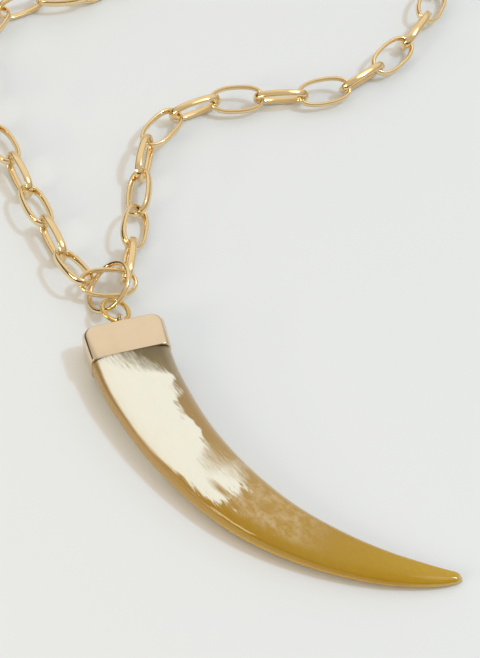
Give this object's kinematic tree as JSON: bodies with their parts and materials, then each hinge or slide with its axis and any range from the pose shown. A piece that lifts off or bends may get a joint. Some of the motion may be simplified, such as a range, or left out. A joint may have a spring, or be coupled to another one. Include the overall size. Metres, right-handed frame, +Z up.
{
  "type": "cornicello horn pendant necklace",
  "caption": "Curved horn-shaped pendant slab in a polished metal cap, hung by a jump ring and a round bail ring on a closed long-link chain, lying flat.",
  "frame": {"origin": "on the resting surface, under the middle of the metal cap", "axes": "+X across the cap towards the side that the horn sweeps to, +Y from the horn's tip end towards the cap's closed end and the chain, +Z up from the surface that the necklace lies on"},
  "size_m": [0.1314, 0.2588, 0.0083],
  "materials": {
    "horn": "polished natural horn, cream and amber with frayed fibre streaks along its length",
    "cap_gold": "polished pale yellow gold plate",
    "ring_gold": "polished pale yellow gold plate on round wire",
    "chain_gold": "polished pale yellow gold plate on flattened wire"
  },
  "bodies": {
    "root": {"horn": "horn", "cap": "cap_gold", "jump_ring": "ring_gold", "bail_ring": "ring_gold", "chain": "chain_gold", "clasp": "chain_gold"}
  },
  "joints": []
}
